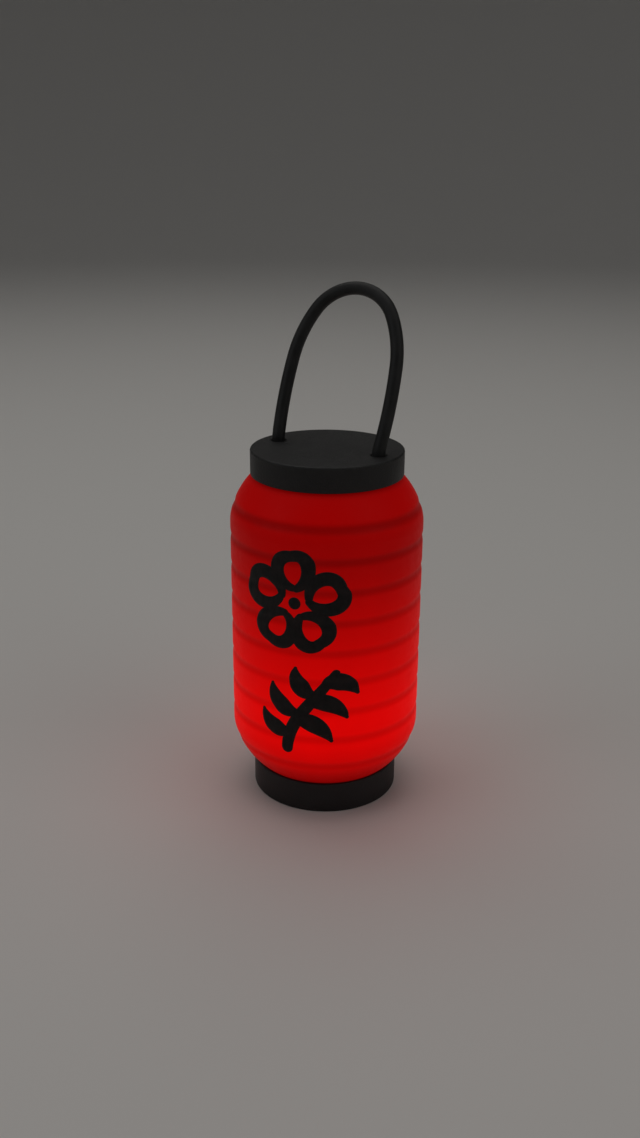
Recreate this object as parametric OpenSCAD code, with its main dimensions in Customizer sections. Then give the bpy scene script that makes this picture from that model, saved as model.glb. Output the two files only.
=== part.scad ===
// Lantern-shaped floating light. A ribbed shade that glows stands between a black base and a
// black cap, and a loop of round rubber cord through the cap is the handle. The base holds two
// coin cells, a light board under a milky dome and a push button in its underside.
// The origin is the centre of the base's underside, +Z is up, and the painted side of the
// shade faces -Y.

/* [Shade] */
// Outer diameter of the shade
shade_d = 75; // [74.5:0.1:75.5]
// Height of one rib
rib_pitch = 12; // [11.5:0.1:12.5]
// Number of ribs
rib_count = 10; // [8:1:12]
// Depth of the groove between two ribs
groove_depth = 0.35; // [0.3:0.05:0.7]
// Width of the groove between two ribs
groove_w = 5; // [4:0.2:6]
// Wall thickness of the shade
shade_wall = 1.5; // [1.3:0.1:1.6]

/* [Painted motifs] */
// Thickness of the paint film
paint_t = 0.2; // [0.15:0.05:0.3]
// Sideways place of the blossom
blossom_x = -2; // [-5:0.5:5]
// Sideways place of the leafy sprig
sprig_x = 3; // [-5:0.5:5]

/* [Base] */
// Outer diameter of the base
base_d = 58.5; // [58.3:0.1:60]
// Height of the base up to the shade
base_h = 12.5; // [12.4:0.1:13]
// Height of the spigot that the shade fits over
spigot_h = 7; // [6.5:0.1:7]

/* [Cap] */
// Outer diameter of the cap
cap_d = 59; // [59:0.1:60]
// Height of the cap
cap_h = 9.8; // [9.5:0.1:11]

/* [Handle] */
// Diameter of the cord
cord_d = 5; // [4.8:0.1:5]
// Distance between the middles of the cord's two ends
foot_span = 44; // [43:0.5:44]
// Turn of the handle about the cap's middle
handle_turn = -15; // [-45:1:45]
// Lean of the handle away from upright at rest
handle_lean = 22; // [-30:1:40]

/* [Button] */
// Distance of the button from the middle of the underside
button_y = 20.5; // [20.4:0.1:20.6]

/* [Hidden] */
$fn = 96;

play = 0.3;         // gap between two separate parts that face each other
snug = 0.05;        // gap of a ring or a shank in its seat

// Shade: two shoulders run from the straight wall to the two necks
shade_r = shade_d / 2;
shade_z0 = base_h;
shade_z1 = shade_z0 + rib_count * rib_pitch;
top_start = shade_z1 - 18.4;
top_reach = 21.9;
low_start = shade_z0 + 17.4;
low_reach = 20.1;
top_drop = 0.443;   // part of the radius that each shoulder falls by, and how round it is
top_round = 1.63;
low_drop = 0.388;
low_round = 1.57;
collar_in = 26.4;   // the lower neck, which stands up inside the shade
collar_t = 1.3;
collar_h = 6.5;
pocket_z = shade_z0 + 2.8;
neck_r = 27.4;      // the upper neck, which stands up inside the cap
neck_in = 25.8;
blossom_z = shade_z0 + 6.65 * rib_pitch;
sprig_z = shade_z0 + 3.03 * rib_pitch;
motif_reach = 25;   // no motif goes further up or down from its middle than this

// Base
base_r = base_d / 2;
base_in = base_r - 1.8;
rim_in = base_r - 2.4;
foot_edge = 0.4;    // radii of the base's two outer edges
base_edge = 0.6;
floor_z = 2;        // the underside is this far above what the rim stands on
floor_t = 1.5;
floor_top = floor_z + floor_t;
spigot_r = collar_in - play;
spigot_in = 24;
spigot_top = base_h + spigot_h;
ledge_t = 1.8;
ring_r = 0.6;       // half the thickness of the two round sealing rings
ring_slot = 1.6;
ring_z = base_h + 3.5;
ring_bed = collar_in - 2 * ring_r - 2 * snug;
screw_play = 0.2;   // gap round a screw where it passes through a plate

// Battery well, cells and screw-in door
well_in = 13;
well_wall = 2;
well_top = 12;
cell_r = 10;
cell_h = 3.2;
cell_z = 4.8;
door_r = 15.6;
door_t = 1.2;
plug_r = well_in - play;
plug_h = 2.4;
door_edge = 0.3;
door_z0 = floor_z - door_t;
plug_top = floor_z + plug_h;
door_ring_z = floor_z + 1.1;
door_bed = well_in - 2 * ring_r - 2 * snug;
slot_l = 14;
slot_w = 1.8;
slot_depth = 0.8;
cell_step = 0.6;    // the smaller, negative face of a cell
cell_step_r = cell_r - 1.2;
contact_r = 7;
contact_t = 0.8;
holder_z = cell_z + 0.2;
holder_roof = 1.4;

// Light board
board_r = 23.4;
board_t = 1.6;
board_z = 14.6;
board_top = board_z + board_t;
boss_r = 2.6;
boss_ring = 20;
boss_angles = [30, 150, 270];
pilot_r = 0.85;
screw_r = pilot_r - snug;
screw_l = 7;
tip_gap = 0.2;      // a screw ends this far above the bottom of its hole
liner_screw_l = 6;
head_r = 1.8;
head_h = 1.2;
cross_l = 2.2;      // the cross in a screw's head
cross_w = 0.5;
cross_depth = 0.6;
led_count = 6;
led_ring = 11;
led_size = [2.8, 3.5, 1.9];
chip_size = [5, 4, 1.5];
resistor_size = [2, 1.3, 0.6];
resistor_pitch = 4;
dome_rise = 5.8;
dome_r = 23;
dome_t = 1.2;
dome_skirt = 2;     // how far the dome's skirt goes down inside the spigot

// Button and switch
button_r = 3.8;
button_z = 0.9;     // the button's face stands this far above what the rim stands on
button_hole_r = button_r + play;
flange_r = 5;
flange_t = 0.8;
stem_r = 1.4;
switch_w = 5.2;
switch_h = 3.5;
plunger_r = 1.5;
plunger_z = 10.3;
plunger_l = 2.5;

// Cap
cap_r = cap_d / 2;
cap_z0 = shade_z1 - 0.3;
cap_top = cap_z0 + cap_h;
plate_t = 3;
plate_z = cap_top - plate_t;
gasket_t = 1;
neck_top = plate_z - gasket_t;
skirt_in = 27.8;
lead_in = 28.6;     // the skirt opens out to this at its mouth
lead_z = cap_z0 + 0.4;
lead_top = cap_z0 + 1.2;
mouth_edge = 0.3;
edge_r = 0.8;
sink_depth = 0.5;   // the flare at the top of the two cord holes
sink_flare = 0.6;
liner_r = 25.2;
liner_t = 1.2;
liner_top = plate_z - 4.8;
liner_z = liner_top - liner_t;
liner_boss_ring = 15;
liner_boss_angles = [90, 210, 330];

// Handle: a loop of tangent arcs, drawn flat as [sideways, up], then leaned and turned
cord_r = cord_d / 2;
hole_r = cord_r + play;
foot = foot_span / 2;
foot_z = cap_top + 1.6;
splay = 5.5;        // the legs set off this far outwards
leg_r = 180;
leg_end = 4.5;      // angle at which the leg passes into the shoulder
shoulder_r = 45;
shoulder_end = 30;  // angle at which the shoulder passes into the crown
leg_c = [foot, 0] - leg_r * [cos(splay), -sin(splay)];
leg_p = leg_c + leg_r * [cos(leg_end), sin(leg_end)];
shoulder_c = leg_p - shoulder_r * [cos(leg_end), sin(leg_end)];
shoulder_p = shoulder_c + shoulder_r * [cos(shoulder_end), sin(shoulder_end)];
crown_r = shoulder_p.x / cos(shoulder_end);
crown_c = [0, shoulder_p.y - crown_r * sin(shoulder_end)];
cord_sides = 16;
foot_steps = 3;
tail_top = foot_z - cord_r - play;
tail_l = 6.2;
stop_r = 3.3;
stop_l = 4;

// ---- shared shapes ----

// A quarter-ellipse-like fall from 1 towards 1 - drop as u goes from 0 to 1
function fall(u, drop, power) = 1 - drop + drop * pow(1 - pow(min(u, 1), power), 1 / power);

// Outer radius without ribs, and the inner radius, at a height
function plain_r(z, inset = 0) =
    z > top_start ?
        shade_r * fall((z - top_start) / (top_reach - inset), top_drop, top_round) - inset :
    z < low_start ?
        shade_r * fall((low_start - z) / (low_reach - inset), low_drop, low_round) - inset :
    shade_r - inset;

// Depth of the nearest groove at a height
function groove(z) =
    let (p = (z - shade_z0) / rib_pitch)
    let (k = round(p))
    let (t = abs(p - k) * rib_pitch / (groove_w / 2))
    k < 1 || k > rib_count - 1 || t > 1 ? 0 : groove_depth * (1 + cos(180 * t)) / 2;

// Points of an arc, for outlines
function arc(c, r, a0, a1, n = 6) =
    [for (i = [0:n]) c + r * [cos(a0 + (a1 - a0) * i / n), sin(a0 + (a1 - a0) * i / n)]];

// A point of a cubic Bezier curve, and the unit normal there
function bez(p, t) =
    pow(1 - t, 3) * p[0] + 3 * t * pow(1 - t, 2) * p[1] + 3 * t * t * (1 - t) * p[2]
    + pow(t, 3) * p[3];
function bez_normal(p, t) =
    let (d = pow(1 - t, 2) * (p[1] - p[0]) + 2 * t * (1 - t) * (p[2] - p[1])
        + t * t * (p[3] - p[2]))
    [-d.y, d.x] / norm(d);

// Width of a brush stroke along its length, from w[0] past the fullness w[1] to w[2]
function brush_w(w, t) = pow(1 - t, 2) * w[0] + 2 * t * (1 - t) * w[1] + t * t * w[2];

// The rounded end of a brush stroke: a half circle round c, facing along the angle a
function brush_end(c, r, a) = [for (i = [1:5]) c + r * [cos(a - 90 + 30 * i), sin(a - 90 + 30 * i)]];

module brush_stroke(p, w) {
    n = 12;
    right = [for (i = [0:n]) bez(p, i / n) - bez_normal(p, i / n) * brush_w(w, i / n) / 2];
    left = [for (i = [n:-1:0]) bez(p, i / n) + bez_normal(p, i / n) * brush_w(w, i / n) / 2];
    out = p[3] - p[2];
    back = p[0] - p[1];
    polygon(concat(
        right,
        brush_end(p[3], w[2] / 2, atan2(out.y, out.x)),
        left,
        brush_end(p[0], w[0] / 2, atan2(back.y, back.x))
    ));
}

// Lays a flat motif on the front of the shade as a paint film
module painted(x, z) {
    intersection() {
        translate([x, 0, z]) rotate([90, 0, 0]) linear_extrude(shade_r + 5) children();
        difference() {
            translate([0, 0, z - motif_reach])
                cylinder(r = shade_r + paint_t, h = 2 * motif_reach);
            translate([0, 0, z - motif_reach - 1])
                cylinder(r = shade_r, h = 2 * motif_reach + 2);
        }
    }
}

module at_bosses(ring, angles) {
    for (a = angles) rotate([0, 0, a]) translate([ring, 0, 0]) children();
}

module ring_seal(r, z) {
    rotate_extrude() translate([r, z]) circle(r = ring_r, $fn = 32);
}

// A pan-head screw standing on its tip, with a cross in its head
module screw(l) {
    difference() {
        union() {
            cylinder(r = screw_r, h = l, $fn = 32);
            translate([0, 0, l]) cylinder(r = head_r, h = head_h, $fn = 48);
        }
        translate([0, 0, l + head_h]) cube([cross_l, cross_w, 2 * cross_depth], center = true);
        translate([0, 0, l + head_h]) cube([cross_w, cross_l, 2 * cross_depth], center = true);
    }
}

// ---- base ----

module base_shell() {
    rotate_extrude() polygon(concat(
        [[0, floor_z], [rim_in, floor_z], [rim_in, 0]],
        arc([base_r - foot_edge, foot_edge], foot_edge, -90, 0, 4),
        arc([base_r - base_edge, base_h - base_edge], base_edge, 0, 90, 4),
        [
            [spigot_r, base_h],
            [spigot_r, ring_z - ring_slot / 2],
            [ring_bed, ring_z - ring_slot / 2],
            [ring_bed, ring_z + ring_slot / 2],
            [spigot_r, ring_z + ring_slot / 2],
            [spigot_r, spigot_top],
            [spigot_in, spigot_top],
            [spigot_in, base_h - ledge_t],
            [base_in, base_h - ledge_t],
            [base_in, floor_top],
            [0, floor_top]
        ]
    ));
}

module base_housing() {
    color("#141414") difference() {
        union() {
            base_shell();
            translate([0, 0, floor_z]) cylinder(r = well_in + well_wall, h = well_top - floor_z);
            at_bosses(boss_ring, boss_angles)
                translate([0, 0, floor_z]) cylinder(r = boss_r, h = board_z - floor_z);
        }
        translate([0, 0, floor_z - 1]) cylinder(r = well_in, h = well_top);
        translate([0, button_y, floor_z - 1]) cylinder(r = button_hole_r, h = floor_t + 2);
        at_bosses(boss_ring, boss_angles)
            translate([0, 0, board_z - screw_l]) cylinder(r = pilot_r, h = screw_l + 1, $fn = 32);
    }
}

module base_gasket() {
    color("#2b2b2b") ring_seal(ring_bed + snug + ring_r, ring_z);
}

// ---- light board ----

module led_board() {
    color("#1d5c34") translate([0, 0, board_z]) difference() {
        cylinder(r = board_r, h = board_t);
        at_bosses(boss_ring, boss_angles) translate([0, 0, -1])
            cylinder(r = screw_r + screw_play, h = board_t + 2, $fn = 32);
    }
}

module board_screws() {
    color("silver") at_bosses(boss_ring, boss_angles)
        translate([0, 0, board_top - screw_l + tip_gap]) screw(screw_l - tip_gap);
}

module leds() {
    color("#f4e9c8") for (i = [0:led_count - 1]) rotate([0, 0, 360 * i / led_count])
        translate([led_ring, 0, board_top + led_size.z / 2]) cube(led_size, center = true);
}

module driver_chip() {
    color("#202020") translate([0, 0, board_top + chip_size.z / 2]) cube(chip_size, center = true);
}

module resistors() {
    color("#303030") for (i = [-1:1])
        translate([resistor_pitch * i, -6, board_top + resistor_size.z / 2])
            cube(resistor_size, center = true);
}

module light_diffuser() {
    sphere_r = (dome_r * dome_r + dome_rise * dome_rise) / (2 * dome_rise);
    sphere_z = spigot_top + dome_t + dome_rise - sphere_r;
    edge = asin(dome_r / sphere_r);
    inner_edge = asin((dome_r - dome_t) / (sphere_r - dome_t));
    color("#f3f0ea") rotate_extrude() polygon(concat(
        [
            [dome_r - dome_t / 2, spigot_top - dome_skirt],
            [spigot_in - play, spigot_top - dome_skirt],
            [spigot_in - play, spigot_top],
            [spigot_r - 0.1, spigot_top],
            [spigot_r - 0.1, spigot_top + dome_t]
        ],
        arc([0, sphere_z], sphere_r, 90 - edge, 90, 10),
        arc([0, sphere_z], sphere_r - dome_t, 90, 90 - inner_edge, 10)
    ));
}

// ---- battery ----

module battery_holder() {
    color("#e8e4da") difference() {
        union() {
            translate([0, 0, holder_z]) cylinder(r = plug_r, h = well_top - holder_z);
            translate([0, 0, well_top]) cylinder(r = well_in + well_wall, h = holder_roof);
        }
        translate([0, 0, cell_z - 1]) cylinder(r = cell_r + play, h = well_top - cell_z + 1);
    }
}

module coin_cell(z) {
    translate([0, 0, z]) difference() {
        cylinder(r = cell_r, h = cell_h);
        // the step round the smaller, negative face
        translate([0, 0, -1]) difference() {
            cylinder(r = cell_r + 1, h = cell_step + 1);
            translate([0, 0, -1]) cylinder(r = cell_step_r, h = cell_step + 3);
        }
    }
}

module battery_lower() {
    color("#c9ccd0") coin_cell(cell_z);
}

module battery_upper() {
    color("#c9ccd0") coin_cell(cell_z + cell_h);
}

module top_contact() {
    color("#b9975a") translate([0, 0, cell_z + 2 * cell_h])
        cylinder(r = contact_r, h = contact_t);
}

module battery_door() {
    color("#141414") difference() {
        rotate_extrude() polygon([
            [0, door_z0],
            [door_r - door_edge, door_z0],
            [door_r, door_z0 + door_edge],
            [door_r, floor_z],
            [plug_r, floor_z],
            [plug_r, door_ring_z - ring_slot / 2],
            [door_bed, door_ring_z - ring_slot / 2],
            [door_bed, door_ring_z + ring_slot / 2],
            [plug_r, door_ring_z + ring_slot / 2],
            [plug_r, plug_top],
            [0, plug_top]
        ]);
        translate([-slot_l / 2, -slot_w / 2, door_z0 - 1]) cube([slot_l, slot_w, slot_depth + 1]);
    }
}

module door_gasket() {
    color("#2b2b2b") ring_seal(door_bed + snug + ring_r, door_ring_z);
}

module door_contact() {
    color("#b9975a") translate([0, 0, plug_top])
        cylinder(r = contact_r, h = cell_z - plug_top);
}

// ---- button and switch ----

module power_button() {
    color("#1c1c1c") translate([0, button_y, 0]) {
        translate([0, 0, button_z]) cylinder(r = button_r, h = floor_top - button_z);
        translate([0, 0, floor_top]) cylinder(r = flange_r, h = flange_t);
        translate([0, 0, floor_top]) cylinder(r = stem_r, h = plunger_z - floor_top);
    }
}

module switch_plunger() {
    color("#9a3324") translate([0, button_y, plunger_z]) cylinder(r = plunger_r, h = plunger_l);
}

module switch_body() {
    color("#3a3a3c") difference() {
        translate([-switch_w / 2, button_y - switch_w / 2, board_z - switch_h])
            cube([switch_w, switch_w, switch_h]);
        translate([0, button_y, board_z - switch_h - 1])
            cylinder(r = plunger_r + snug, h = switch_h + 0.5);
    }
}

// ---- shade ----

module shade() {
    steps = [0, 0.05, 0.1, 0.15, 0.2, 0.35, 0.5, 0.65, 0.8, 0.85, 0.9, 0.95];
    outer = [for (k = [0:rib_count - 1]) for (s = steps)
        let (z = shade_z0 + (k + s) * rib_pitch) [plain_r(z) - groove(z), z]];
    top_inner = [for (z = [shade_z1:-1.3:top_start])
        [max(neck_in, plain_r(z, shade_wall)), z]];
    low_inner = [for (z = [low_start:-1.3:pocket_z + 0.2]) [plain_r(z, shade_wall), z]];
    color("#e0100c") rotate_extrude() polygon(concat(
        outer,
        [
            [plain_r(shade_z1), shade_z1],
            [neck_r, shade_z1],
            [neck_r, neck_top],
            [neck_in, neck_top]
        ],
        top_inner,
        [[shade_r - shade_wall, top_start]],
        low_inner,
        [
            [plain_r(pocket_z, shade_wall), pocket_z],
            [collar_in + collar_t, pocket_z],
            [collar_in + collar_t, shade_z0 + collar_h],
            [collar_in, shade_z0 + collar_h],
            [collar_in, shade_z0]
        ]
    ));
}

// Five brushed petals round a dot
module blossom() {
    sway = [3, -2, 2, -4, 1];
    for (k = [0:4]) rotate(72 * k + sway[k]) {
        brush_stroke([[-0.6, 6], [-8, 8], [-8.4, 19.4], [0.8, 18]], [3.2, 7.2, 4]);
        brush_stroke([[0.9, 5.6], [8.2, 9], [7.6, 20], [-0.6, 18.2]], [3, 7.6, 4]);
    }
    circle(r = 2.4, $fn = 32);
}

// A brushed branch that leans to the right, with a fat leaf on either side in turn
module sprig() {
    leaf = [1.8, 13, 1.4];
    brush_stroke([[-8, -16.6], [-7.5, -4], [2, 3], [10.5, 16]], [4.6, 6, 3.2]);
    brush_stroke([[-7, -9.5], [-10.5, -10.5], [-16, -9], [-18, -2.5]], leaf);
    brush_stroke([[-5.4, -5], [-0.5, -3.2], [5.5, -5.5], [9, -12.5]], leaf);
    brush_stroke([[-3.6, -1], [-8.5, -1.5], [-13.5, 2.5], [-14, 9.5]], leaf);
    brush_stroke([[-0.4, 2.4], [4, 5.6], [10.5, 4], [14.5, -2.5]], leaf);
    brush_stroke([[3.2, 6.6], [-1.8, 7.4], [-5.4, 11.5], [-4.6, 17.4]], leaf);
    brush_stroke([[5.6, 10], [9, 14], [14.6, 13.5], [18, 7.5]], leaf);
}

module blossom_print() {
    color("#0b0b0b") painted(blossom_x, blossom_z) blossom();
}

module sprig_print() {
    color("#0b0b0b") painted(sprig_x, sprig_z) sprig();
}

// ---- cap ----

module cap_gasket() {
    color("#2b2b2b") translate([0, 0, neck_top]) difference() {
        cylinder(r = neck_r, h = gasket_t);
        translate([0, 0, -1]) cylinder(r = neck_in, h = gasket_t + 2);
    }
}

module at_feet() {
    rotate([0, 0, handle_turn]) for (s = [-1, 1]) translate([s * foot, 0, 0]) children();
}

module top_cap() {
    color("#121212") difference() {
        union() {
            rotate_extrude() polygon(concat(
                [
                    [0, plate_z],
                    [skirt_in, plate_z],
                    [skirt_in, lead_top],
                    [lead_in, lead_z],
                    [lead_in, cap_z0]
                ],
                arc([cap_r - mouth_edge, cap_z0 + mouth_edge], mouth_edge, -90, 0, 3),
                arc([cap_r - edge_r, cap_top - edge_r], edge_r, 0, 90, 6),
                [[0, cap_top]]
            ));
            at_bosses(liner_boss_ring, liner_boss_angles)
                translate([0, 0, liner_top]) cylinder(r = boss_r, h = plate_z - liner_top + 1);
        }
        at_feet() translate([0, 0, plate_z - 1]) cylinder(r = hole_r, h = plate_t + 2);
        at_feet() translate([0, 0, cap_top - sink_depth])
            cylinder(r1 = hole_r, r2 = hole_r + sink_flare, h = sink_depth + 0.1);
        at_bosses(liner_boss_ring, liner_boss_angles) translate([0, 0, liner_top - 1])
            cylinder(r = pilot_r, h = liner_screw_l + 0.6, $fn = 32);
    }
}

module cap_liner() {
    color("#dcdcd8") translate([0, 0, liner_z]) difference() {
        cylinder(r = liner_r, h = liner_t);
        at_bosses(liner_boss_ring, liner_boss_angles) translate([0, 0, -1])
            cylinder(r = screw_r + screw_play, h = liner_t + 2, $fn = 32);
    }
}

module liner_screws() {
    color("silver") at_bosses(liner_boss_ring, liner_boss_angles)
        translate([0, 0, liner_z + liner_screw_l]) rotate([180, 0, 0]) screw(liner_screw_l);
}

module cord_ends() {
    color("#0d0d0d") at_feet() translate([0, 0, tail_top - tail_l]) cylinder(r = cord_r, h = tail_l);
}

module cord_stops() {
    color("#8c8c8c") at_feet() translate([0, 0, plate_z - stop_l]) difference() {
        cylinder(r = stop_r, h = stop_l);
        translate([0, 0, -1]) cylinder(r = cord_r + snug, h = stop_l + 2);
    }
}

// ---- handle ----

// The loop's middle line, drawn flat as [sideways, up, heading], from one foot to the other.
// The heading is the angle from straight up, positive outwards on the first half.
function bend(c, r, a0, a1, n) =
    [for (i = [0:n - 1]) let (a = a0 + (a1 - a0) * i / n) [c.x + r * cos(a), c.y + r * sin(a), a]];

loop_line = concat(
    bend(leg_c, leg_r, -splay, leg_end, 10),
    bend(shoulder_c, shoulder_r, leg_end, shoulder_end, 7),
    bend(crown_c, crown_r, shoulder_end, 180 - shoulder_end, 16),
    [for (i = [7:-1:1]) let (a = leg_end + (shoulder_end - leg_end) * i / 7)
        [-shoulder_c.x - shoulder_r * cos(a), shoulder_c.y + shoulder_r * sin(a), 180 - a]],
    [for (i = [10:-1:0]) let (a = -splay + (leg_end + splay) * i / 10)
        [-leg_c.x - leg_r * cos(a), leg_c.y + leg_r * sin(a), 180 - a]]
);

// One ring of the cord: [middle, angle of its plane, radius]
function ring(m, a, r) =
    [for (k = [0:cord_sides - 1])
        let (b = 360 * k / cord_sides)
        [m.x + r * cos(b) * cos(a), m.y + r * cos(b) * sin(a), r * sin(b)]];

// Rings that round off a foot, from its tip (side = -1) or towards its tip (side = 1)
function foot_rings(m, a, side) =
    [for (i = side < 0 ? [foot_steps:-1:1] : [1:foot_steps])
        let (b = 80 * i / foot_steps)
        let (away = cord_r * sin(b) * side)
        ring([m.x - away * sin(a), m.y + away * cos(a)], a, cord_r * cos(b))];

module handle() {
    first = loop_line[0];
    last = loop_line[len(loop_line) - 1];
    rings = concat(
        foot_rings(first, first[2], -1),
        [for (m = loop_line) ring(m, m[2], cord_r)],
        foot_rings(last, last[2], 1)
    );
    count = len(rings);
    color("#0d0d0d") translate([0, 0, foot_z]) rotate([0, 0, handle_turn])
        rotate([90 - handle_lean, 0, 0]) polyhedron(
            points = [for (r = rings) for (p = r) p],
            faces = concat(
                [[for (k = [0:cord_sides - 1]) k]],
                [for (i = [0:count - 2]) for (k = [0:cord_sides - 1])
                    let (j = (k + 1) % cord_sides)
                    [
                        i * cord_sides + k,
                        (i + 1) * cord_sides + k,
                        (i + 1) * cord_sides + j,
                        i * cord_sides + j
                    ]],
                [[for (k = [cord_sides - 1:-1:0]) (count - 1) * cord_sides + k]]
            )
        );
}

base_housing();
led_board();
board_screws();
leds();
driver_chip();
resistors();
switch_body();
light_diffuser();
battery_holder();
top_contact();
battery_lower();
battery_upper();
door_gasket();
battery_door();
door_contact();
power_button();
switch_plunger();
base_gasket();
shade();
blossom_print();
sprig_print();
cap_gasket();
top_cap();
cap_liner();
liner_screws();
cord_ends();
cord_stops();
handle();
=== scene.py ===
# %% [markdown]
# # A lantern-shaped floating light
# The light stands on a table like a small paper lantern: a ribbed red shade that glows from
# inside, a black base, a black cap and a loop of rubber cord to carry it by. The solid parts
# come from the CAD model. This script gives them their finishes, makes the pieces that need a
# finer mesh than CAD has, and sets up the camera, the floor and the lamps.

# %% Load the CAD model
from math import cos, pi, radians, sin, sqrt

import bmesh
import bpy
from mathutils import Matrix, Vector


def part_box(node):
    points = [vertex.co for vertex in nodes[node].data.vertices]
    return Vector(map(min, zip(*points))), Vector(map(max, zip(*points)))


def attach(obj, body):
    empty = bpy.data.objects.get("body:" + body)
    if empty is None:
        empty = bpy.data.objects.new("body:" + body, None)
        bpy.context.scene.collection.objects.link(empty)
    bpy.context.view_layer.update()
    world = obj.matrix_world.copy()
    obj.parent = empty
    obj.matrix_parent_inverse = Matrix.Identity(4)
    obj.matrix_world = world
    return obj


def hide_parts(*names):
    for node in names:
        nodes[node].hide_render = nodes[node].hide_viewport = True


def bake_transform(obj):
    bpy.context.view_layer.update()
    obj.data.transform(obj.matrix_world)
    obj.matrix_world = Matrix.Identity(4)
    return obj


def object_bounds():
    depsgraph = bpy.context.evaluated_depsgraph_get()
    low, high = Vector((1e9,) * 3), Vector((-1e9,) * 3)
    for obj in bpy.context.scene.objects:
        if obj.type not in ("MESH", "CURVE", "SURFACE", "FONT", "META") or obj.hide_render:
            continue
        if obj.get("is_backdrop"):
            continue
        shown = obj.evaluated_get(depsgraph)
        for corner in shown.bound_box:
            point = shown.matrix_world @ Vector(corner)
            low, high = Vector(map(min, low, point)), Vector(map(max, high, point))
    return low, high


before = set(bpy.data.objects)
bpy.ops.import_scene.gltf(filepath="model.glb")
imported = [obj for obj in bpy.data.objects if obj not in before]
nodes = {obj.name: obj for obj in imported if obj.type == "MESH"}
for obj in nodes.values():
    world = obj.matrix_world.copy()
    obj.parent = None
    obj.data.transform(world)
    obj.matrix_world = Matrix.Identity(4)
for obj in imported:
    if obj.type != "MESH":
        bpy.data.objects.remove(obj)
cad_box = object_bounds()
mm = 0.001
cad_height = cad_box[1].z - cad_box[0].z
print("CAD nodes:", len(nodes), "height in mm:", round(cad_height / mm, 1))

# %% [markdown]
# ## Where the camera stands
# The camera looks down at the light from a little above it and from 15 degrees to the right of
# the painted side. A camera's place could be typed in as three numbers, but its distance,
# height and turn about the light say the same thing in a way that is easy to change. The tilt
# is then a rotation of the view direction, and the roll turns the picture a little.

# %% Camera
camera_distance = 0.4291
camera_height = 0.2520
camera_turn = radians(15)
camera_tilt = radians(20.378)
camera_pan = radians(0.336)
camera_roll = radians(0.372)
camera_lens = 36.635
sensor_width = 36

camera_data = bpy.data.cameras.new("camera")
camera_data.lens = camera_lens
camera_data.sensor_width = sensor_width
camera_data.clip_start = 0.01
camera_data.clip_end = 20
camera = bpy.data.objects.new("camera", camera_data)
bpy.context.scene.collection.objects.link(camera)
before_it = Matrix.Translation((0, -camera_distance, camera_height))
stand = Matrix.Rotation(camera_turn, 4, "Z") @ before_it
aim = Matrix.Rotation(camera_pan, 4, "Z") @ Matrix.Rotation(pi / 2 - camera_tilt, 4, "X")
camera.matrix_world = stand @ aim @ Matrix.Rotation(camera_roll, 4, "Z")
bpy.context.scene.camera = camera
print("camera at", [round(v, 4) for v in camera.matrix_world.translation])

# %% [markdown]
# ## Floor and lamps
# The light's own red glow is the thing to see, so the studio is soft and not bright: one wide
# lamp above, weaker ones at the sides, and a little light from everywhere. Large lamps give soft
# shadows. The floor is pale and plain, so that the glow round the base shows on it. A flat plane
# would end in a hard horizon, so the floor is a wide round sheet that curves up into a wall, as
# the paper sweep of a studio does.

# %% Floor
floor_r = 2.2
sweep_r = 1.2
wall_top = 3.0
floor_hub = 0.02
floor_sides = 96
floor_colour = (0.76, 0.745, 0.72)


def paper_sweep():
    """A round floor that curves up into a wall, turned about the Z axis."""
    outline = [(floor_hub, 0)] + [(floor_r * i / 6, 0) for i in range(1, 7)]
    for i in range(1, 13):
        turn = pi / 2 * i / 12
        outline.append((floor_r + sweep_r * sin(turn), sweep_r * (1 - cos(turn))))
    outline.append((floor_r + sweep_r, wall_top))
    turns = [2 * pi * k / floor_sides for k in range(floor_sides)]
    form = bmesh.new()
    rings = [[form.verts.new((r * cos(t), r * sin(t), z)) for t in turns] for r, z in outline]
    form.faces.new(rings[0])
    for low, high in zip(rings, rings[1:]):
        for k in range(floor_sides):
            nxt = (k + 1) % floor_sides
            form.faces.new((low[k], low[nxt], high[nxt], high[k])).smooth = True
    bmesh.ops.recalc_face_normals(form, faces=form.faces)
    mesh = bpy.data.meshes.new("floor")
    form.to_mesh(mesh)
    form.free()
    floor = bpy.data.objects.new("floor", mesh)
    bpy.context.scene.collection.objects.link(floor)
    paper = bpy.data.materials.new("floor_paper")
    paper.use_nodes = True
    shader = paper.node_tree.nodes["Principled BSDF"]
    shader.inputs["Base Color"].default_value = (*floor_colour, 1)
    shader.inputs["Roughness"].default_value = 0.6
    shader.inputs["Specular IOR Level"].default_value = 0.25
    mesh.materials.append(paper)
    floor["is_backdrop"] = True
    print("floor faces:", len(mesh.polygons))


paper_sweep()


# %% Lamps
aim_height = 0.09


def soft_lamp(name, place, size, power, colour):
    """A square lamp at a place, facing the middle of the light."""
    data = bpy.data.lights.new(name, "AREA")
    data.size = size
    data.energy = power
    data.color = colour
    lamp = bpy.data.objects.new(name, data)
    lamp.location = place
    lamp.rotation_mode = "QUATERNION"
    away = Vector(place) - Vector((0, 0, aim_height))
    lamp.rotation_quaternion = away.to_track_quat("Z", "Y")
    bpy.context.scene.collection.objects.link(lamp)
    print(name, "stands", round(away.length, 2), "m away")


soft_lamp("lamp_above", (-0.25, 0.35, 1.5), 1.6, 5.8, (1, 0.98, 0.95))
soft_lamp("lamp_left", (-1.1, -0.8, 0.9), 1.0, 1.8, (0.95, 0.97, 1))
soft_lamp("lamp_right", (1.1, -0.3, 0.9), 1.0, 1.5, (1, 0.98, 0.96))

room = bpy.data.worlds.new("room")
room.use_nodes = True
all_round = room.node_tree.nodes["Background"]
all_round.inputs["Color"].default_value = (0.95, 0.97, 1, 1)
all_round.inputs["Strength"].default_value = 0.075
bpy.context.scene.world = room
bpy.context.scene.view_settings.view_transform = "Standard"

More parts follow.
